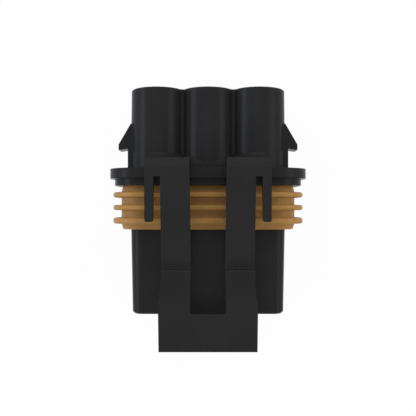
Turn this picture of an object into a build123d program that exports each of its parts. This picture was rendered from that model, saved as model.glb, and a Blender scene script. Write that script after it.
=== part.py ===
from build123d import *
import os
from math import atan2, degrees, radians, sqrt, tan

os.makedirs("parts", exist_ok=True)

# Sealed three-way cable connector, lying on its back with the latch upward.
# X runs across the ways, Y from the mating end toward the wires, Z up toward the latch.
# The origin is the middle of the flange's flat back strip, on which the part rests.

# Ways, each a straight passage for one contact
way_names = ["left", "centre", "right"]
way_pitch = 7.0

# Nose that enters the mating header
nose_width = 20.92
nose_depth = 8.7
nose_corner = 1.75
nose_length = 11.4
nose_draft = 1.1
nose_edge_bevel = 0.25
end_wall = 2.0

# Flange and the smaller step below it, both grown evenly from the nose outline
flange_reach = 2.82
flange_thickness = 1.31
step_reach = 2.18
step_thickness = 0.94

# Wire tubes above the flange, wide enough to run into each other
tube_radius = 3.69
tube_length = 11.15
tube_draft = 0.7
tube_rim_bevel = 0.15

# Hollow shoulder between the centre tube and the flange, in the gap of the latch roots
shoulder_rise = 3.9
shoulder_back = 2.7
shoulder_half_width = 2.4

# Latch: two roots on the flange, two arms, and the pad that joins them
latch_front = 10.1
latch_thickness = 1.35
latch_length = 22.0
root_outer = 7.96
root_rise = 1.16
root_chamfer = 1.25
root_fillet = 1.7
arm_inner = 2.34
arm_outer = 6.0
arm_swell = 0.17
arm_waist = 0.13
arm_lean = 0.9
arm_root_fillet = 0.5
finger_inner = 6.8
finger_length = 5.7
finger_taper = 0.14
finger_corner = 0.25
grip_drop = 11.8
grip_height = 1.0
grip_run = 4.2
pad_front = 9.6
pad_half_width = 6.28
pad_length = 4.76
pad_taper = 0.08
pad_lead = 0.8
pad_lead_depth = 0.35
window_flare = 0.13
window_corner = 0.35

# Hooked clip nibs on the outer tubes
nib_depth = 3.0
nib_top = 6.42
nib_tip_out = 1.67
nib_tip_top = 3.54
nib_tip_bottom = 2.76
nib_stem_top = 2.94
nib_stem_out = 0.4

# Perimeter seal around the top of the nose
seal_length = 5.85
seal_wall = 1.3
seal_taper = 0.2
seal_taper_length = 0.75
rib_count = 3
rib_pitch = 1.71
rib_reach = 2.39
rib_tip = 0.6
rib_flank_angle = 87
first_rib_drop = 1.17

# Passages through the housing
bore_radius = 2.75
bore_lead = 0.3
bore_floor_gap = 0.6
blade_width = 2.8
blade_thickness = 0.8
blade_clearance = 0.2
blade_lead = 0.45
recess_width = 2.0
recess_depth = 0.7
recess_overlap = 0.3
lock_clearance = 0.15

# Pockets that core out the nose from its mating face
core_depth = 14.0
core_wall = 0.75
core_skin = 0.9

# Stamped contacts
sheet = 0.3
contact_clearance = 0.1
front_gap = 0.2
box_width = 3.5
box_height = 3.1
box_corner = 0.45
box_length = 8.0
tongue_width = 2.3
tongue_length = 6.4
tongue_gap = 0.55
tang_width = 1.6
tang_length = 2.2
tang_lift = 0.55
tang_start = 1.6
channel_width = 2.4
channel_height = 1.5
crimp_start = 4.6
crimp_length = 4.0
crimp_height = 2.0
wing_inset = 0.15
wing_length = 2.0

# Cable seals
wire_radius = 1.1
neck_radius = 1.75
neck_length = 2.8
gland_length = 4.8
gland_core_radius = 2.3
gland_rib_count = 3
gland_rib_tip = 0.4
gland_recess = 1.0
gland_clearance = 0.02

# Places worked out from the sizes above
way_x = [(i - (len(way_names) - 1) / 2) * way_pitch for i in range(len(way_names))]
axis_z = nose_depth / 2 + flange_reach
flange_top = flange_thickness / 2
flange_bottom = -flange_thickness / 2
step_bottom = flange_bottom - step_thickness
seal_bottom = step_bottom - seal_length
nose_end = seal_bottom - nose_length
rim = flange_top + tube_length
root_top = flange_top + root_rise
grip_y = flange_bottom - grip_drop
pad_top = grip_y - grip_run
latch_end = flange_bottom - latch_length
window_end = latch_end + pad_length
gland_top = rim - gland_recess
neck_top = gland_top - gland_length
neck_end = neck_top - neck_length
bore_bottom = neck_end - bore_floor_gap
passage_end = nose_end + end_wall
passage_width = box_width + 2 * contact_clearance
passage_height = box_height + 2 * contact_clearance
contact_front = passage_end + front_gap
box_rear = contact_front + box_length
lock_face = contact_front + tang_start + tang_length + lock_clearance


def across(y, x=0.0):
    """Section plane square to the length; an extrusion from it runs toward the mating end."""
    return Plane(origin=(x, y, axis_z), x_dir=(1, 0, 0), z_dir=(0, -1, 0))


def side_view(x=0.0):
    """Plane of the side view: first coordinate along Y, second the rise above the way axes."""
    return Plane(origin=(x, 0, axis_z), x_dir=(0, 1, 0), z_dir=(1, 0, 0))


front_view = Plane(origin=(0, 0, axis_z), x_dir=(1, 0, 0), z_dir=(0, 0, 1))


def nose_outline(reach=0.0):
    """The nose's rounded outline, grown evenly by reach."""
    return RectangleRounded(nose_width + 2 * reach, nose_depth + 2 * reach, nose_corner + reach)


# Latch, as the common part of its side view and its front view
with BuildPart() as latch:
    arm_back = latch_front - latch_thickness
    grip_front = latch_front - arm_lean + grip_height
    pad_back = pad_front - latch_thickness
    with BuildSketch(side_view()) as latch_side:
        with BuildLine():
            Polyline(
                (root_top, 0),
                (root_top, latch_front - root_chamfer),
                (root_top - root_chamfer, latch_front),
                (flange_bottom, latch_front),
                (grip_y, latch_front - arm_lean),
                (grip_y, grip_front),
            )
            TangentArc((pad_top, pad_front), (grip_y, grip_front), tangent=(1, 0))
            Polyline(
                (pad_top, pad_front),
                (latch_end, pad_front),
                (latch_end, pad_back + pad_lead_depth),
                (latch_end + pad_lead, pad_back),
                (pad_top, pad_back),
                (grip_y, arm_back - arm_lean),
                (flange_bottom, arm_back),
                (flange_bottom, 0),
                (root_top, 0),
            )
        make_face()
        root_corner = latch_side.vertices().sort_by_distance((flange_bottom, arm_back))[0]
        fillet(root_corner, radius=arm_root_fillet)
    extrude(amount=root_outer, both=True)

    # Front view of one half: root, finger, waisted arm, flare to the pad, and half the window
    with BuildSketch(front_view) as latch_front_view:
        with BuildLine():
            Polyline(
                (arm_inner, root_top),
                (root_outer, root_top),
                (root_outer, flange_bottom - finger_length),
                (finger_inner + finger_taper, flange_bottom - finger_length),
                (finger_inner, flange_bottom),
                (arm_outer, flange_bottom),
                (arm_outer - arm_waist, grip_y),
            )
            TangentArc((arm_outer - arm_waist, grip_y), (pad_half_width, pad_top), tangent=(0, -1))
            Polyline(
                (pad_half_width, pad_top),
                (pad_half_width - pad_taper, latch_end),
                (0, latch_end),
                (0, window_end),
                (arm_inner - arm_swell + window_flare, window_end),
                (arm_inner - arm_swell, grip_y),
                (arm_inner, root_top),
            )
        make_face()
        for corner, radius in (
            ((root_outer, flange_bottom - finger_length), finger_corner),
            ((finger_inner + finger_taper, flange_bottom - finger_length), finger_corner),
            ((arm_inner - arm_swell + window_flare, window_end), window_corner),
        ):
            fillet(latch_front_view.vertices().sort_by_distance(corner)[0], radius=radius)
        mirror(about=Plane.YZ)
    extrude(amount=latch_front + grip_height, mode=Mode.INTERSECT)

with BuildPart() as root_blend:
    # Hollow fillet between each tube's front and the top of the latch roots
    for x in way_x:
        with BuildSketch(side_view(x)):
            with BuildLine():
                Line((root_top, 0), (root_top, tube_radius + root_fillet))
                RadiusArc(
                    (root_top, tube_radius + root_fillet),
                    (root_top + root_fillet, tube_radius),
                    -root_fillet,
                )
                Line((root_top + root_fillet, tube_radius), (root_top + root_fillet, 0))
                Line((root_top + root_fillet, 0), (root_top, 0))
            make_face()
        revolve(axis=Axis((x, 0, axis_z), (0, 1, 0)))
    with BuildSketch(front_view):
        for side in (-1, 1):
            with Locations((side * (arm_inner + root_outer) / 2, root_top + root_fillet / 2)):
                Rectangle(root_outer - arm_inner, root_fillet)
    extrude(amount=latch_front, mode=Mode.INTERSECT)

# Flange and step
with BuildPart() as flange:
    for top, reach, thickness in (
        (flange_top, flange_reach, flange_thickness),
        (flange_bottom, step_reach, step_thickness),
    ):
        with BuildSketch(across(top)):
            nose_outline(reach)
        extrude(amount=thickness)

with BuildPart() as connector_body:
    # Wire tubes, wider toward the flange
    for x in way_x:
        with BuildSketch(across(rim, x)):
            Circle(tube_radius)
        extrude(amount=tube_length, taper=-tube_draft)

    # Latch with its roots
    add(latch.part)
    add(root_blend.part)

    # Shoulder, a hollow that starts upright in the centre tube and ends on the flange
    shoulder_radius = shoulder_rise + flange_thickness / 2
    shoulder_foot = shoulder_back + shoulder_radius - sqrt(shoulder_radius**2 - shoulder_rise**2)
    with BuildSketch(side_view()):
        with BuildLine():
            RadiusArc(
                (flange_top, shoulder_foot),
                (flange_top + shoulder_rise, shoulder_back),
                -shoulder_radius,
            )
            Polyline(
                (flange_top + shoulder_rise, shoulder_back),
                (flange_top + shoulder_rise, 0),
                (flange_top, 0),
                (flange_top, shoulder_foot),
            )
        make_face()
    extrude(amount=shoulder_half_width, both=True)

    # Flange, seat of the perimeter seal, and nose
    add(flange.part)
    with BuildSketch(across(step_bottom)):
        nose_outline()
    extrude(amount=seal_length)
    with BuildSketch(across(seal_bottom)):
        nose_outline()
    extrude(amount=nose_length, taper=nose_draft)
    mating_face = connector_body.faces().filter_by(
        lambda face: abs(face.center().Y - nose_end) < nose_edge_bevel
    ).sort_by(SortBy.AREA)[-1]
    chamfer(mating_face.edges(), length=nose_edge_bevel)

    # Clip nibs at mid depth
    with BuildSketch(front_view):
        with BuildLine():
            tube_side = way_x[-1] + tube_radius
            Polyline(
                (way_x[-1], flange_top),
                (tube_side + nib_stem_out, flange_top),
                (tube_side + nib_stem_out, flange_top + nib_stem_top),
                (tube_side + nib_tip_out, flange_top + nib_tip_bottom),
                (tube_side + nib_tip_out, flange_top + nib_tip_top),
                (tube_side, flange_top + nib_top),
                (way_x[-1], flange_top + nib_top),
                (way_x[-1], flange_top),
            )
        make_face()
        mirror(about=Plane.YZ)
    extrude(amount=nib_depth / 2, both=True)

    # Passages: seal bore, contact passage and blade entry
    for x in way_x:
        with BuildSketch(across(rim, x)):
            Circle(bore_radius)
        extrude(amount=rim - bore_bottom, mode=Mode.SUBTRACT)
        with BuildSketch(across(bore_bottom, x)):
            Rectangle(passage_width, passage_height)
        extrude(amount=bore_bottom - passage_end, mode=Mode.SUBTRACT)
        with BuildSketch(across(passage_end, x)):
            Rectangle(blade_width + 2 * blade_clearance, blade_thickness + 2 * blade_clearance)
        extrude(amount=end_wall, mode=Mode.SUBTRACT)
        with BuildSketch(across(nose_end, x)):
            Rectangle(
                blade_width + 2 * blade_clearance + 2 * blade_lead,
                blade_thickness + 2 * blade_clearance + 2 * blade_lead,
            )
        with BuildSketch(across(nose_end + blade_lead, x)):
            Rectangle(blade_width + 2 * blade_clearance, blade_thickness + 2 * blade_clearance)
        loft(mode=Mode.SUBTRACT)

        # Lock recess for the tang, open to the mating face as the release slot
        with BuildSketch(across(lock_face, x)):
            with Locations((0, (passage_height + recess_depth - recess_overlap) / 2)):
                Rectangle(recess_width, recess_depth + recess_overlap)
        extrude(amount=lock_face - nose_end, mode=Mode.SUBTRACT)

    # Core pockets, between the ways and behind each of them
    pocket_rise = nose_depth / 2 - nose_length * tan(radians(nose_draft)) - core_skin
    passage_back = passage_height / 2 + core_wall
    with BuildSketch(across(nose_end + core_depth)):
        with Locations([((a + b) / 2, 0) for a, b in zip(way_x, way_x[1:])]):
            Rectangle(way_pitch - passage_width - 2 * core_wall, 2 * pocket_rise)
        with Locations([(x, -(pocket_rise + passage_back) / 2) for x in way_x]):
            Rectangle(passage_width, pocket_rise - passage_back)
    extrude(amount=core_depth, mode=Mode.SUBTRACT)

    # Bevelled rim outside, and a lead-in for each cable seal inside
    chamfer(connector_body.faces().sort_by(Axis.Y)[-1].outer_wire().edges(), length=tube_rim_bevel)
    chamfer(
        [
            edge
            for bore in connector_body.faces().sort_by(Axis.Y)[-1].inner_wires()
            for edge in bore.edges()
        ],
        length=bore_lead,
    )
connector_body.part.label = "connector_body"
export_step(connector_body.part, "parts/connector_body.step")

# Perimeter seal: one ribbed section swept round half the nose, and mirrored
with BuildPart() as perimeter_seal:
    seat_rise = nose_depth / 2
    with BuildLine(across(step_bottom)) as seat:
        FilletPolyline(
            (0, seat_rise),
            (nose_width / 2, seat_rise),
            (nose_width / 2, -seat_rise),
            (0, -seat_rise),
            radius=nose_corner,
        )
    with BuildSketch(side_view()):
        rib_ys = [step_bottom - first_rib_drop - i * rib_pitch for i in range(rib_count)]
        rib_root = rib_tip + 2 * rib_reach / tan(radians(rib_flank_angle))
        with Locations([(y, seat_rise + rib_reach / 2) for y in rib_ys]):
            Trapezoid(rib_root, rib_reach, rib_flank_angle)
        with BuildLine():
            Polyline(
                (step_bottom, seat_rise),
                (step_bottom, seat_rise + seal_wall - seal_taper),
                (step_bottom - seal_taper_length, seat_rise + seal_wall),
                (seal_bottom + seal_taper_length, seat_rise + seal_wall),
                (seal_bottom, seat_rise + seal_wall - seal_taper),
                (seal_bottom, seat_rise),
                (step_bottom, seat_rise),
            )
        make_face()
    sweep(path=seat.wire())
    mirror(about=Plane.YZ)
perimeter_seal.part.label = "perimeter_seal"
export_step(perimeter_seal.part, "parts/perimeter_seal.step")

# Stamped contacts, each one piece of sheet
for name, x in zip(way_names, way_x):
    with BuildPart() as contact:
        floor = -box_height / 2

        # Box that takes the blade
        with BuildSketch(across(box_rear, x)):
            RectangleRounded(box_width, box_height, box_corner)
            RectangleRounded(
                box_width - 2 * sheet, box_height - 2 * sheet, box_corner - sheet,
                mode=Mode.SUBTRACT,
            )
        extrude(amount=box_length)

        # Arched spring tongue on the floor of the box
        with BuildSketch(side_view(x)):
            middle = (box_rear + contact_front) / 2
            with BuildLine():
                ThreePointArc(
                    (middle - tongue_length / 2, floor + sheet),
                    (middle, -tongue_gap),
                    (middle + tongue_length / 2, floor + sheet),
                )
                Line(
                    (middle + tongue_length / 2, floor + sheet),
                    (middle + tongue_length / 2 - sheet, floor + sheet / 2),
                )
                ThreePointArc(
                    (middle + tongue_length / 2 - sheet, floor + sheet / 2),
                    (middle, -tongue_gap - sheet),
                    (middle - tongue_length / 2 + sheet, floor + sheet / 2),
                )
                Line(
                    (middle - tongue_length / 2 + sheet, floor + sheet / 2),
                    (middle - tongue_length / 2, floor + sheet),
                )
            make_face()
        extrude(amount=tongue_width / 2, both=True)

        # Locking tang, raised toward the wires from the top of the box
        with BuildSketch(side_view(x)):
            tang_y = contact_front + tang_start
            with BuildLine():
                Polyline(
                    (tang_y, box_height / 2 - sheet),
                    (tang_y + tang_length, box_height / 2 + tang_lift - sheet),
                    (tang_y + tang_length, box_height / 2 + tang_lift),
                    (tang_y, box_height / 2),
                    (tang_y, box_height / 2 - sheet),
                )
            make_face()
        extrude(amount=tang_width / 2, both=True)

        # Channel behind the box, carrying the two crimps
        crimp_y = box_rear + crimp_start
        wing_y = neck_end + wing_inset
        with BuildSketch(across(crimp_y, x)):
            with Locations((0, floor + channel_height / 2)):
                Rectangle(channel_width, channel_height)
            with Locations((0, floor + channel_height / 2 + sheet)):
                Rectangle(channel_width - 2 * sheet, channel_height, mode=Mode.SUBTRACT)
        extrude(amount=crimp_start + sheet)
        with BuildSketch(side_view(x)):
            with BuildLine():
                Polyline(
                    (crimp_y, floor),
                    (bore_bottom, floor),
                    (neck_end, -neck_radius - sheet),
                    (wing_y + wing_length, -neck_radius - sheet),
                    (wing_y + wing_length, -neck_radius),
                    (neck_end, -neck_radius),
                    (bore_bottom, floor + sheet),
                    (crimp_y, floor + sheet),
                    (crimp_y, floor),
                )
            make_face()
        extrude(amount=channel_width / 4, both=True)

        # Wire crimp
        with BuildSketch(across(crimp_y + crimp_length, x)):
            with Locations((0, floor + crimp_height / 2)):
                SlotCenterToCenter(channel_width - crimp_height, crimp_height)
                SlotCenterToCenter(
                    channel_width - crimp_height, crimp_height - 2 * sheet, mode=Mode.SUBTRACT
                )
        extrude(amount=crimp_length)

        # Wings folded round the neck of the cable seal
        with BuildSketch(across(wing_y + wing_length, x)):
            Circle(neck_radius + sheet)
            Circle(neck_radius, mode=Mode.SUBTRACT)
            with Locations((0, neck_radius + sheet / 2)):
                Rectangle(sheet, 2 * sheet, mode=Mode.SUBTRACT)
        extrude(amount=wing_length)
    contact.part.label = "contact_" + name
    export_step(contact.part, "parts/contact_" + name + ".step")

# Cable seals, turned round the ways
for name, x in zip(way_names, way_x):
    with BuildPart() as cable_seal:
        rib_run = gland_length / gland_rib_count
        rib_rise = bore_radius - gland_clearance - gland_core_radius
        with BuildSketch(side_view(x)):
            with Locations([
                (neck_top + (i + 0.5) * rib_run, gland_core_radius + rib_rise / 2)
                for i in range(gland_rib_count)
            ]):
                Trapezoid(rib_run, rib_rise, degrees(atan2(rib_rise, (rib_run - gland_rib_tip) / 2)))
            with BuildLine():
                Polyline(
                    (gland_top, wire_radius),
                    (gland_top, gland_core_radius),
                    (neck_top, gland_core_radius),
                    (neck_top, neck_radius),
                    (neck_end, neck_radius),
                    (neck_end, wire_radius),
                    (gland_top, wire_radius),
                )
            make_face()
        revolve(axis=Axis((x, 0, axis_z), (0, 1, 0)))
    cable_seal.part.label = "cable_seal_" + name
    export_step(cable_seal.part, "parts/cable_seal_" + name + ".step")
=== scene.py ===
# %% [markdown]
# A sealed connector, dressed and lit.
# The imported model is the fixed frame: every piece of it is already at its real place and size, in metres.
# This lesson gives each piece the finish of the real one, models the seal's round ribs and a few small
# forms of the moulding, and lights the whole as in the photograph. X runs across the ways, Y toward the
# wires, and Z up toward the latch.

# %% The frame
from math import hypot, radians, sqrt, tan

import bmesh
import bpy
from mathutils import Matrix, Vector


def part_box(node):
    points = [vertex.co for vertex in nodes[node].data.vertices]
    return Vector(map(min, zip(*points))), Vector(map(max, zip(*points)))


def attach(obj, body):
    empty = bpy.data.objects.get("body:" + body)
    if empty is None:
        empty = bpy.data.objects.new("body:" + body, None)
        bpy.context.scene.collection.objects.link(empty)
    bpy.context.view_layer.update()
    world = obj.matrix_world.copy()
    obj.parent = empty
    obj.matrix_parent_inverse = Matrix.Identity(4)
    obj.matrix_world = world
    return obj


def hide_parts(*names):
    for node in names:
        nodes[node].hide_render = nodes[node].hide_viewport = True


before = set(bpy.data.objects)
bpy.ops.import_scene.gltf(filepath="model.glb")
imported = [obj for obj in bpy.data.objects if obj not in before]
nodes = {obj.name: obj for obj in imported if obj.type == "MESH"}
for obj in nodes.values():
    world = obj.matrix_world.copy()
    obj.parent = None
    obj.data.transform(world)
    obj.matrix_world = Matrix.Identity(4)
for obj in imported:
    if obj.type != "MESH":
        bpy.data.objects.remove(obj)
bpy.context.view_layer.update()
MM = 0.001
print("nodes:", ", ".join(sorted(nodes)))

# %% [markdown]
# What is added has to fit the frame. The seal could be placed by typed numbers, but it is measured from
# the frame, so a changed size moves it too: the perimeter seal is centred on the plane that the three
# ways lie in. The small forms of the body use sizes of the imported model, given where they are needed.

# %% Places taken from the frame
seal_low, seal_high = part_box("perimeter_seal")
way_plane = (seal_low.z + seal_high.z) / 2
print("plane of the ways:", round(way_plane / MM, 2), "mm above the floor")

# %% [markdown]
# A finish is a tree of nodes. It could be wired line by line, but a few helpers keep each one short to
# read: one starts an empty material with its main shader, one sets and links a node's inputs by name,
# and one adds a node.

# %% Starting a finish
def new_finish(name):
    """An empty material: itself, its tree, its main shader and its Object coordinates."""
    finish = bpy.data.materials.new(name)
    finish.use_nodes = True
    tree = finish.node_tree
    shader = tree.nodes["Principled BSDF"]
    place = tree.nodes.new("ShaderNodeTexCoord")
    return finish, tree, shader, place.outputs["Object"]


def fill_inputs(tree, node, links=(), **inputs):
    """Sets some of a node's inputs, links others to the given outputs, and gives the node back."""
    for name, value in inputs.items():
        node.inputs[name.replace("_", " ")].default_value = value
    for name, source in dict(links).items():
        tree.links.new(source, node.inputs[name])
    return node


def add_node(tree, kind, links=(), **inputs):
    """Adds a node of this kind, with its inputs set and linked."""
    return fill_inputs(tree, tree.nodes.new(kind), links, **inputs)


# %% [markdown]
# Real surfaces are never quite even. A picture could give that from one side only, so noise on Object
# coordinates gives it from all sides. The coordinates are in metres, so a grain of a quarter of a
# millimetre has a scale in the thousands.

# %% Patterns
GRAINS_PER_METRE = 1 / MM


def add_noise(tree, place, grain, detail=2.0):
    """Noise whose blotches are about grain millimetres across."""
    links = {"Vector": place}
    noise = add_node(tree, "ShaderNodeTexNoise", links, Scale=GRAINS_PER_METRE / grain, Detail=detail)
    return noise.outputs["Fac"]


def add_ramp(tree, source, low, high, start=0.3, end=0.7):
    """A colour or grey that goes from low to high as the source goes from start to end."""
    ramp = add_node(tree, "ShaderNodeValToRGB", {"Fac": source})
    for element, spot, value in zip(ramp.color_ramp.elements, (start, end), (low, high)):
        element.position = spot
        element.color = (value, value, value, 1) if isinstance(value, float) else (*value, 1)
    return ramp.outputs["Color"]


print("a grain of 1 mm has the scale", GRAINS_PER_METRE)

# %% [markdown]
# A tool leaves a shallow relief on every face, and no edge of it is quite sharp. Both could be cut into
# the mesh, but the frame's meshes stay as they are, so the finish bends the light as the relief and
# the round edge would.

# %% Relief and soft edges
def add_bump(tree, height, depth, strength, normal=None):
    """A normal with a relief of depth millimetres, laid over another normal where one is given."""
    links = {"Height": height}
    if normal is not None:
        links["Normal"] = normal
    bump = add_node(tree, "ShaderNodeBump", links, Distance=depth * MM, Strength=strength)
    return bump.outputs["Normal"]


def add_soft_edges(tree, radius):
    """A normal that rounds every sharp edge by radius millimetres, as tool edges are never quite sharp."""
    bevel = add_node(tree, "ShaderNodeBevel", Radius=radius * MM)
    bevel.samples = 8
    return bevel.outputs["Normal"]


def dress(finish, *names):
    """Puts the finish on the frame's nodes of these names."""
    for name in names:
        slots = nodes[name].data.materials
        slots.clear()
        slots.append(finish)
    print(finish.name, "on", ", ".join(names))


# %% [markdown]
# The housing is glass-filled nylon or PBT, black right through. It comes out of a tool with a fine
# spark-eroded grain: nearly smooth to the eye, with a low sheen that varies a little where the melt
# cooled at different speeds. One flat black would do from afar, but it looks like a drawing close by, so
# four noises are laid in: a wide one for the shade, one for the sheen, one for the slight unevenness of
# the wall, and a fine one for the grain. The small forms that are added to the body later get the same
# black without soft edges, because the line where they meet the body is no edge on the real part.

# %% Black moulding
TOOL_EDGE = 0.12
BLACK_DARK = (0.0176, 0.0174, 0.0170)
BLACK_PALE = (0.0204, 0.0202, 0.0197)
BLACK_ROUGHNESS = (0.26, 0.33)


def moulded_black(name, edge_radius=None):
    """The housing's black, with its sharp edges rounded where a radius in millimetres is given."""
    finish, tree, shader, place = new_finish(name)
    shade = add_ramp(tree, add_noise(tree, place, grain=4.0), BLACK_DARK, BLACK_PALE)
    sheen = add_ramp(tree, add_noise(tree, place, grain=0.9, detail=4.0), *BLACK_ROUGHNESS)
    edges = add_soft_edges(tree, edge_radius) if edge_radius else None
    wall_noise = add_noise(tree, place, grain=2.2, detail=1.0)
    uneven = add_bump(tree, wall_noise, depth=0.02, strength=0.25, normal=edges)
    tool_noise = add_noise(tree, place, grain=0.16, detail=3.0)
    grain = add_bump(tree, tool_noise, depth=0.006, strength=0.3, normal=uneven)
    links = {"Base Color": shade, "Roughness": sheen, "Normal": grain}
    fill_inputs(tree, shader, links, Specular_IOR_Level=0.06)
    return finish


black = moulded_black("moulded_black", edge_radius=TOOL_EDGE)
black_blend = moulded_black("moulded_black_blend")
dress(black, "connector_body")

# %% [markdown]
# The seals are moulded silicone, tan, with an oily satin surface. Paint-like colour alone would look
# hard, because light goes a little way into silicone and thin ribs look warmer than the band between
# them, so a little subsurface light is mixed in.

# %% Tan silicone
TAN_DARK = (0.350, 0.182, 0.043)
TAN_PALE = (0.412, 0.218, 0.057)
TAN_ROUGHNESS = (0.42, 0.56)
tan_rubber, tree, shader, place = new_finish("silicone_tan")
shade = add_ramp(tree, add_noise(tree, place, grain=1.6, detail=3.0), TAN_DARK, TAN_PALE)
sheen = add_ramp(tree, add_noise(tree, place, grain=0.7, detail=3.0), *TAN_ROUGHNESS)
skin_noise = add_noise(tree, place, grain=0.2, detail=3.0)
edges = add_soft_edges(tree, TOOL_EDGE)
skin = add_bump(tree, skin_noise, depth=0.008, strength=0.35, normal=edges)
fill_inputs(
    tree,
    shader,
    {"Base Color": shade, "Roughness": sheen, "Normal": skin},
    Subsurface_Weight=0.12,
    Subsurface_Radius=(1.0, 0.45, 0.2),
    Subsurface_Scale=0.3 * MM,
    Specular_IOR_Level=0.25,
)
dress(tan_rubber, *[name for name in nodes if name.startswith("cable_seal")])

# %% [markdown]
# The contacts are stamped from tinned copper alloy: a soft white metal, with faint lines along the
# strip it was rolled from. Plain noise would give round blotches, so it is stretched along the strip
# first, and the same lines drive the colour, the roughness and the relief.

# %% Tinned metal
STAMPED_EDGE = 0.05
TIN_DARK = (0.60, 0.58, 0.54)
TIN_PALE = (0.74, 0.72, 0.67)
TIN_ROUGHNESS = (0.24, 0.38)
ALONG_STRIP = (1.0, 0.08, 1.0)
tinned, tree, shader, place = new_finish("tinned_metal")
stretch = add_node(tree, "ShaderNodeMapping", {"Vector": place}, Scale=ALONG_STRIP)
lines = add_noise(tree, stretch.outputs["Vector"], grain=0.12, detail=3.0)
shade = add_ramp(tree, lines, TIN_DARK, TIN_PALE)
sheen = add_ramp(tree, lines, *TIN_ROUGHNESS)
worn = add_bump(tree, lines, depth=0.004, strength=0.3, normal=add_soft_edges(tree, STAMPED_EDGE))
fill_inputs(tree, shader, {"Base Color": shade, "Roughness": sheen, "Normal": worn}, Metallic=1.0)
dress(tinned, *[name for name in nodes if name.startswith("contact")])

# %% [markdown]
# The perimeter seal is one silicone ring with three ribs, stretched over the nose. The frame carries it
# with flat rib tips. The real tips are round and the ribs grow out of the wall in small hollows, and
# both show in the outline, so the ring is modelled again. A profile swept round the nose would do too,
# but here it starts as a cube of the wall's size: an even push along the normals makes each band of
# faces a rib and keeps the rounded corners even.

# %% Sizes of the seal
NOSE_CORNER = 1.75 * MM
SEAL_WALL = 1.3 * MM
END_TAPER = 0.24 * MM
END_TAPER_LENGTH = 0.75 * MM
RIB_REACH = 2.39 * MM
RIB_THICKNESS = 0.71 * MM
RIB_PITCH = 1.71 * MM
FIRST_RIB_DROP = 1.23 * MM
RIB_TIP_ROUND = 0.28 * MM
RIB_ROOT_HOLLOW = 0.1 * MM
CORNER_STEPS = 12
RIB_COUNT = 3
nose_half = Vector((seal_high.x - RIB_REACH, 0, seal_high.z - way_plane - RIB_REACH))
rib_middles = [seal_high.y - FIRST_RIB_DROP - i * RIB_PITCH for i in range(RIB_COUNT)]
print("nose:", [round(2 * side / MM, 2) for side in nose_half.xz], "mm")

# %% [markdown]
# By hand, faces and edges are picked with the mouse. A script picks them by where they are and which
# way they run, so each pick is a small question that is put to every face or edge.

# %% Picking
def select_where(piece, kind, wanted):
    """In edit mode, selects just the faces or edges for which wanted is true, and counts them."""
    bpy.ops.mesh.select_mode(type=kind)
    bpy.ops.mesh.select_all(action="DESELECT")
    mesh = bmesh.from_edit_mesh(piece.data)
    chosen = [item for item in (mesh.faces if kind == "FACE" else mesh.edges) if wanted(item)]
    for item in chosen:
        item.select = True
    mesh.select_flush_mode()
    bmesh.update_edit_mesh(piece.data)
    return len(chosen)


# %% Questions to a face or an edge
NEAR = 0.02 * MM
MOSTLY = 0.9


def outside_nose(point):
    """How far a point lies outside the nose's rounded outline."""
    across = abs(point.x) - nose_half.x + NOSE_CORNER
    upward = abs(point.z - way_plane) - nose_half.z + NOSE_CORNER
    return hypot(max(across, 0), max(upward, 0)) + min(max(across, upward), 0) - NOSE_CORNER


def runs_along(edge):
    """Is the edge parallel to the connector's length?"""
    start, end = (corner.co for corner in edge.verts)
    return abs(start.y - end.y) > MOSTLY * (end - start).length


def looks_along(face):
    """Does the face look along the connector's length?"""
    return abs(face.normal.y) > MOSTLY


def middle_of(edge):
    """The point halfway along an edge."""
    return (edge.verts[0].co + edge.verts[1].co) / 2


print("a point counts as on a line within", NEAR / MM, "mm")

# %% [markdown]
# The ring is the plain band of the seal. Cutting a small cube out of a large one would leave corners of
# uneven wall, so the cube gets its round corners first, and an inset of both ends, bridged, makes the
# hole with a wall of one thickness all round.

# %% Ring and its hole
wall = SEAL_WALL - END_TAPER
bpy.ops.object.select_all(action="DESELECT")
bpy.ops.mesh.primitive_cube_add(size=1, location=(0, (seal_low.y + seal_high.y) / 2, way_plane))
seal = bpy.context.object
seal.name = "ribbed_seal"
seal.scale = (2 * (nose_half.x + wall), seal_high.y - seal_low.y, 2 * (nose_half.z + wall))
bpy.ops.object.transform_apply(location=True, rotation=True, scale=True)
bpy.ops.object.mode_set(mode="EDIT")
select_where(seal, "EDGE", runs_along)
bpy.ops.mesh.bevel(offset=NOSE_CORNER + wall, segments=CORNER_STEPS, affect="EDGES")
select_where(seal, "FACE", looks_along)
bpy.ops.mesh.inset(thickness=wall, use_even_offset=True)
bpy.ops.mesh.bridge_edge_loops()
print("ring:", len(bmesh.from_edit_mesh(seal.data).faces), "faces")

# %% [markdown]
# Each rib is a fin that is squeezed by the header's wall. Ribs could be rings of their own, but then
# they would only touch the band, so the band is cut across and each rib's strip is pushed out of it.
# Its two ends stay lower, which tapers the seal as in the photograph.

# %% Ribs
cuts = [seal_low.y + END_TAPER_LENGTH, seal_high.y - END_TAPER_LENGTH]
for middle in rib_middles:
    cuts += [middle - RIB_THICKNESS / 2, middle + RIB_THICKNESS / 2]
for cut in cuts:
    bpy.ops.mesh.select_all(action="SELECT")
    bpy.ops.mesh.bisect(plane_co=(0, cut, 0), plane_no=(0, 1, 0))


def on_wall(face, start, end):
    """Is the face on the outside of the wall, between start and end along the connector?"""
    middle = face.calc_center_median()
    return start < middle.y < end and outside_nose(middle) > wall / 2 and not looks_along(face)


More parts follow.
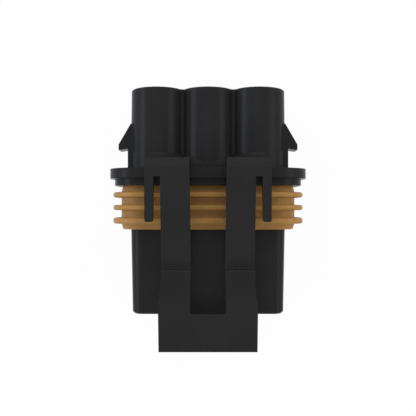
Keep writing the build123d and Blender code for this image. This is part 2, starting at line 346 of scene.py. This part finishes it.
select_where(seal, "FACE", lambda face: on_wall(face, *sorted(cuts[:2])))
bpy.ops.transform.shrink_fatten(value=END_TAPER)
for middle in rib_middles:
    strip = (middle - RIB_THICKNESS / 2, middle + RIB_THICKNESS / 2)
    picked = select_where(seal, "FACE", lambda face: on_wall(face, *strip))
    bpy.ops.mesh.extrude_region_shrink_fatten(
        TRANSFORM_OT_shrink_fatten={"value": RIB_REACH - SEAL_WALL}
    )
    print("rib:", picked, "faces pushed out at y =", round(middle / MM, 2), "mm")

# %% [markdown]
# The tips are round, so that they slide into the header, and each rib grows out of the wall in a small
# hollow, because silicone tears at a sharp corner. A Bevel modifier would round every edge alike, so the
# tips and the roots are bevelled apart, each by its own size.

# %% Round tips and hollow roots
def at_rib_root(edge):
    """Does the edge run round the seal where a rib meets the wall?"""
    middle = middle_of(edge)
    beside = any(abs(abs(middle.y - spot) - RIB_THICKNESS / 2) < NEAR for spot in rib_middles)
    return beside and not runs_along(edge) and abs(outside_nose(middle) - SEAL_WALL) < NEAR


def at_rib_tip(edge):
    """Does the edge run round the seal on a rib's tip?"""
    return not runs_along(edge) and outside_nose(middle_of(edge)) > RIB_REACH - NEAR


RIBS_SMOOTH_BELOW = radians(40)
tips = select_where(seal, "EDGE", at_rib_tip)
bpy.ops.mesh.bevel(offset=RIB_TIP_ROUND, segments=4, affect="EDGES")
roots = select_where(seal, "EDGE", at_rib_root)
bpy.ops.mesh.bevel(offset=RIB_ROOT_HOLLOW, segments=2, affect="EDGES")
bpy.ops.mesh.select_all(action="SELECT")
bpy.ops.mesh.normals_make_consistent(inside=False)
bpy.ops.object.mode_set(mode="OBJECT")
bpy.ops.object.shade_smooth_by_angle(angle=RIBS_SMOOTH_BELOW)
seal.data.materials.append(tan_rubber)
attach(seal, "root")
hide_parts("perimeter_seal")
print("seal:", tips, "tip edges,", roots, "root edges,", len(seal.data.polygons), "faces")
print("seal size:", [round(side / MM, 2) for side in seal.dimensions], "mm")

# %% [markdown]
# Where two tubes meet, the edge of the tool is round, so the real moulding has a hollow web in the
# bottom of each valley, and the tube ends join in a soft dip. A bevel on the body would need its mesh
# changed, which the frame forbids, so a block is set into the valley and a round bar cuts its top,
# touching both tubes. The bar leans as the tubes' draft does.

# %% Sizes of the valley webs
WAY_PITCH = 7.0 * MM
TUBE_RADIUS = 3.69 * MM
TUBE_LENGTH = 11.15 * MM
TUBE_DRAFT = radians(0.7)
WEB_HOLLOW = 0.45 * MM
WEB_SINK = 0.9 * MM
RIM_BEVEL = 0.15 * MM
BELOW_RIM = 0.02 * MM
BURIED = 0.05 * MM
wire_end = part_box("connector_body")[1].y
rim = wire_end - BELOW_RIM
foot = wire_end - TUBE_LENGTH - BURIED


def bar_height(tube_radius):
    """How far above the ways' plane a bar of radius WEB_HOLLOW rests on two tubes."""
    return sqrt((tube_radius + WEB_HOLLOW) ** 2 - (WAY_PITCH / 2) ** 2)


rim_height = bar_height(TUBE_RADIUS)
foot_height = bar_height(TUBE_RADIUS + TUBE_LENGTH * tan(TUBE_DRAFT))
touch = WAY_PITCH / 2 * (1 - TUBE_RADIUS / (TUBE_RADIUS + WEB_HOLLOW))
web_top = round((rim_height - WEB_HOLLOW) / MM, 2)
web_width = round(2 * touch / MM, 2)
print("web:", web_top, "mm above the ways at the rim,", web_width, "mm wide")

# %% [markdown]
# The webs here, and the lips and hollows at the latch's step further on, start as blocks, and the
# hollow ones have a round bar cut out. A bevel can't make a hollow, so the cut is a Boolean modifier.
# A block stops just short of its feather edge, where the bar would leave no thickness at all.

# %% Blocks
BEFORE_FEATHER = 0.97
BLOCKS_SMOOTH_BELOW = radians(30)


def add_block(name, low, high):
    """A cube stretched between two corners, with its place in its mesh."""
    bpy.ops.object.select_all(action="DESELECT")
    bpy.ops.mesh.primitive_cube_add(size=1, location=[(a + b) / 2 for a, b in zip(low, high)])
    block = bpy.context.object
    block.name = name
    block.scale = [b - a for a, b in zip(low, high)]
    bpy.ops.object.transform_apply(location=True, rotation=True, scale=True)
    return block


def smooth_black(piece):
    """Shades a finished block smooth over its round cuts, and gives it the body's black."""
    bpy.ops.object.select_all(action="DESELECT")
    piece.select_set(True)
    bpy.context.view_layer.objects.active = piece
    bpy.ops.object.shade_smooth_by_angle(angle=BLOCKS_SMOOTH_BELOW)
    piece.data.materials.append(black_blend)
    print(piece.name, [round(size / MM, 2) for size in piece.dimensions], "mm")


# %% Bars that cut
BAR_SIDES = 96
BAR_OVERRUN = 1.2


def cut_with_bar(piece, radius, start, end):
    """Cuts a round bar of the radius, from start to end, out of the piece."""
    run = Vector(end) - Vector(start)
    bpy.ops.object.select_all(action="DESELECT")
    bpy.ops.mesh.primitive_cylinder_add(
        vertices=BAR_SIDES,
        radius=radius,
        depth=BAR_OVERRUN * run.length,
        location=(Vector(start) + Vector(end)) / 2,
        rotation=run.to_track_quat("Z", "Y").to_euler(),
    )
    bar = bpy.context.object
    bpy.context.view_layer.objects.active = piece
    cut = piece.modifiers.new("cut", "BOOLEAN")
    cut.operation = "DIFFERENCE"
    cut.object = bar
    bpy.ops.object.modifier_apply(modifier=cut.name)
    bpy.data.objects.remove(bar)
    print(piece.name, "cut by a bar of radius", round(radius / MM, 2), "mm")


# %% One web
valley = -WAY_PITCH / 2
web = add_block(
    "valley_web_1",
    (valley - BEFORE_FEATHER * touch, foot, way_plane + WEB_SINK),
    (valley + BEFORE_FEATHER * touch, rim, way_plane + foot_height),
)
bar_foot = (valley, foot, way_plane + foot_height)
bar_rim = (valley, rim, way_plane + rim_height)
cut_with_bar(web, WEB_HOLLOW, bar_foot, bar_rim)


def on_web_rim(edge):
    """Is the edge a piece of the hollow's curve at the tubes' rim?"""
    start, end = (corner.co for corner in edge.verts)
    at_rim = rim - min(start.y, end.y) < NEAR
    above_base = min(start.z, end.z) > way_plane + WEB_SINK + NEAR
    has_width = abs(start.x - end.x) > NEAR / 4
    return at_rim and above_base and has_width


bpy.context.view_layer.objects.active = web
bpy.ops.object.mode_set(mode="EDIT")
rim_edges = select_where(web, "EDGE", on_web_rim)
bpy.ops.mesh.bevel(offset=RIM_BEVEL, segments=1, affect="EDGES")
bpy.ops.object.mode_set(mode="OBJECT")
smooth_black(web)
print("web:", rim_edges, "edges bevelled at the rim,", len(web.data.polygons), "faces")

# %% [markdown]
# The connector has two valleys, each with a web in front and one at the back. A Mirror modifier would
# leave all four one mesh, so each copy gets a mesh of its own, and its corners are moved over. A copy
# that is turned over in one direction only has its faces inside out, so their normals are flipped.

# %% Copies of the web
webs = [web]
for across, upward in ((-1, 1), (1, -1), (-1, -1)):
    copy = web.copy()
    copy.data = web.data.copy()
    copy.name = f"valley_web_{len(webs) + 1}"
    bpy.context.collection.objects.link(copy)
    for corner in copy.data.vertices:
        corner.co.x *= across
        corner.co.z = way_plane + upward * (corner.co.z - way_plane)
    if across * upward < 0:
        copy.data.flip_normals()
    webs.append(copy)
for piece in webs:
    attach(piece, "root")
print("webs:", ", ".join(piece.name for piece in webs))

# %% [markdown]
# The grip of the latch starts with a step across each arm. On the real part its upper edge is round from
# the polishing of the tool, and its foot has a small hollow where the plastic flows round the corner.
# The round edge catches the light from the wire side as a thin line. Soft shading alone is too narrow
# for that, so a thin lip with a bevelled edge covers the step, and a block cut by a round bar fills its
# foot.

# %% Sizes at the step
STEP_Y = -12.455 * MM
STEP_TOP_Z = 17.37 * MM
ARM_TOP_Z = 16.37 * MM
ARM_RUN = Vector((0, 11.8, 0.9)).normalized()
ARM_INNER_X = 2.19 * MM
ARM_OUTER_X = 5.86 * MM
LIP = 0.16 * MM
LIP_ROUND = 0.15 * MM
STEP_HOLLOW = 0.22 * MM
lip_y = STEP_Y + LIP
foot_z = ARM_TOP_Z + ARM_RUN.z * (LIP + STEP_HOLLOW)
print("step:", round((STEP_TOP_Z - ARM_TOP_Z) / MM, 2), "mm high")

# %% Round lip and hollow foot
def on_lip_edge(edge):
    """Is the edge the lip's upper one, on the side of the wires?"""
    return all(lip_y - corner.co.y < NEAR and STEP_TOP_Z - corner.co.z < NEAR for corner in edge.verts)


for side, name in ((-1, "left"), (1, "right")):
    inner, outer = sorted((side * ARM_INNER_X, side * ARM_OUTER_X))
    base = ARM_TOP_Z - BURIED
    lip = add_block(f"step_lip_{name}", (inner, STEP_Y - BURIED, base), (outer, lip_y, STEP_TOP_Z))
    bpy.ops.object.mode_set(mode="EDIT")
    select_where(lip, "EDGE", on_lip_edge)
    bpy.ops.mesh.bevel(offset=LIP_ROUND, segments=6, affect="EDGES")
    bpy.ops.object.mode_set(mode="OBJECT")
    hollow = add_block(
        f"step_hollow_{name}",
        (inner, lip_y - BURIED, base),
        (outer, lip_y + BEFORE_FEATHER * STEP_HOLLOW, foot_z + STEP_HOLLOW),
    )
    bar_middle = (lip_y + STEP_HOLLOW, foot_z + STEP_HOLLOW)
    arm_width = outer - inner
    cut_with_bar(hollow, STEP_HOLLOW, (inner - arm_width, *bar_middle), (outer + arm_width, *bar_middle))
    for piece in (lip, hollow):
        smooth_black(piece)
        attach(piece, "root")

# %% [markdown]
# The photograph has a white background. More light would make the floor white and bleach the part too,
# so the floor and the room are given two looks: white to a ray that comes from the camera or off a
# glossy or clear surface, and plainly lit to the light that falls on the part. This helper tells the
# two apart.

# %% What a ray sees
def seen_directly(tree):
    """1 for a ray from the camera, a reflection or a clear piece, and 0 for light on a surface."""
    path = tree.nodes.new("ShaderNodeLightPath")
    seen = path.outputs["Is Camera Ray"]
    for kind in ("Is Glossy Ray", "Is Transmission Ray"):
        either = add_node(tree, "ShaderNodeMath", {0: seen, 1: path.outputs[kind]})
        either.operation = "MAXIMUM"
        seen = either.outputs[0]
    return seen


# %% [markdown]
# The floor is a plain pale sheet under the part. For the camera it is mostly its own white, so the
# background stays clean, and the rest of it is lit, so that the part's soft shadow shows.

# %% Floor
FLOOR_HALF = 1.5
FLOOR_OWN_WHITE = 0.96
bpy.ops.object.select_all(action="DESELECT")
bpy.ops.mesh.primitive_plane_add(size=2 * FLOOR_HALF, location=(0, 0, 0))
floor = bpy.context.object
floor.name = "floor"
paper, tree, shader, place = new_finish("pale_floor")
fill_inputs(tree, shader, Base_Color=(0.9, 0.9, 0.9, 1), Roughness=0.9, Specular_IOR_Level=0.1)
glow = add_node(tree, "ShaderNodeEmission", Color=(1, 1, 1, 1), Strength=1.0)
share = add_node(tree, "ShaderNodeMath", {0: seen_directly(tree)})
share.operation = "MULTIPLY"
share.inputs[1].default_value = FLOOR_OWN_WHITE
blend = add_node(
    tree,
    "ShaderNodeMixShader",
    {0: share.outputs[0], 1: shader.outputs["BSDF"], 2: glow.outputs["Emission"]},
)
tree.links.new(blend.outputs[0], tree.nodes["Material Output"].inputs["Surface"])
floor.data.materials.append(paper)
print("floor:", 2 * FLOOR_HALF, "m wide,", FLOOR_OWN_WHITE, "of it its own white")

# %% [markdown]
# The photograph looks level at the connector from the latch side. The part lies on its back here, so
# the same view is straight down on it. Any lens could frame it, but only one distance gives the
# photograph's perspective, in which the tubes' rims and the latch shift against the flange: the camera
# is 87 mm in front of the plane of the ways.

# %% Camera
bpy.context.scene.view_settings.view_transform = "Standard"
PHOTO_WIDTH = 416
PHOTO_FOCAL = 620
SENSOR = 36.0
CAMERA_DISTANCE = 0.0872
CAMERA_Y = -0.0046
camera_data = bpy.data.cameras.new("camera")
camera_data.sensor_width = SENSOR
camera_data.lens = SENSOR * PHOTO_FOCAL / PHOTO_WIDTH
camera_data.clip_start = 0.005
camera = bpy.data.objects.new("camera", camera_data)
camera.location = (0, CAMERA_Y, way_plane + CAMERA_DISTANCE)
bpy.context.collection.objects.link(camera)
bpy.context.scene.camera = camera
print("lens:", round(camera_data.lens, 2), "mm")

# %% [markdown]
# Dark plastic shows mostly what its sheen reflects. A bare room would leave it flat, so weak soft light
# from all round is joined by five soft panels. A narrow bluish one on the left and a wider one on the
# right draw the bright lines down the tubes, one over the wire side brightens the slopes that face it,
# and weak ones over the mating side and on top fill the shadows.

# %% Room light
ROOM_LIGHT = 0.40
world = bpy.data.worlds.new("studio")
world.use_nodes = True
tree = world.node_tree
room = fill_inputs(tree, tree.nodes["Background"], Color=(1, 1, 1, 1), Strength=ROOM_LIGHT)
backdrop = add_node(tree, "ShaderNodeBackground", Color=(1, 1, 1, 1), Strength=1.0)
blend = add_node(
    tree,
    "ShaderNodeMixShader",
    {0: seen_directly(tree), 1: room.outputs["Background"], 2: backdrop.outputs["Background"]},
)
tree.links.new(blend.outputs[0], tree.nodes["World Output"].inputs["Surface"])
bpy.context.scene.world = world
print("room light:", ROOM_LIGHT)

# %% Soft panels
PANEL_REACH = 0.5
COOL_WHITE = (0.74, 0.80, 1.0)


def add_panel(name, lean_x, lean_y, size, power, colour=(1, 1, 1)):
    """A soft box half a metre from the ways, leaning from straight above toward +X and +Y."""
    panel = bpy.data.lights.new(name, "AREA")
    panel.shape = "RECTANGLE"
    panel.size, panel.size_y = size
    panel.energy = power
    panel.color = colour
    lamp = bpy.data.objects.new(name, panel)
    away = Vector((tan(radians(lean_x)), tan(radians(lean_y)), 1)).normalized()
    lamp.location = Vector((0, 0, way_plane)) + PANEL_REACH * away
    lamp.rotation_euler = (-away).to_track_quat("-Z", "Y").to_euler()
    bpy.context.collection.objects.link(lamp)
    print(name, power, "W")


add_panel("left_panel", -65, 0, size=(0.6, 0.14), power=1.5, colour=COOL_WHITE)
add_panel("right_panel", 60, 0, size=(0.6, 0.2), power=0.84)
add_panel("wire_side_panel", 0, 46, size=(0.5, 0.25), power=0.80)
add_panel("mating_side_panel", 0, -55, size=(0.5, 0.25), power=0.30)
add_panel("top_panel", 0, 0, size=(0.3, 0.3), power=0.10)
